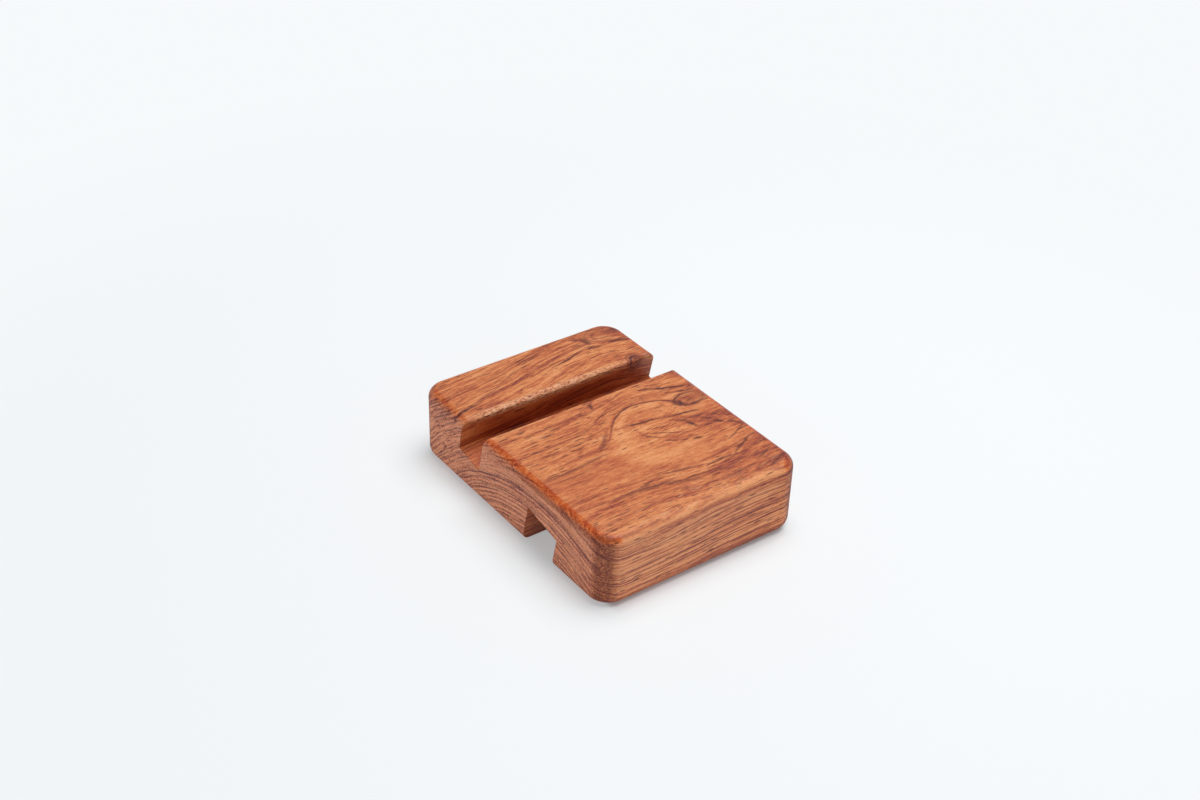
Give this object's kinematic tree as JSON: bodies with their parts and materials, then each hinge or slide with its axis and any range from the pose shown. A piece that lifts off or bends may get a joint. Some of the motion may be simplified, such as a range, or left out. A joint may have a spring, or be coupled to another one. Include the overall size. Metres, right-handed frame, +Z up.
{
  "type": "phone stand",
  "caption": "Small solid wood block with rounded edges, a leaning slot across its top and a wider leaning slot across its underside; it holds a phone or tablet upright.",
  "frame": {"origin": "middle of the footprint, on the surface that the block rests on", "axes": "X along the slots and the grain, -Y towards the user (the narrow bar in front of the phone slot), +Z up"},
  "size_m": [0.06, 0.08, 0.02],
  "materials": {
    "wood": "satin oiled hardwood, grain along the slots"
  },
  "bodies": {
    "root": {"stand_block": "wood"}
  },
  "joints": []
}
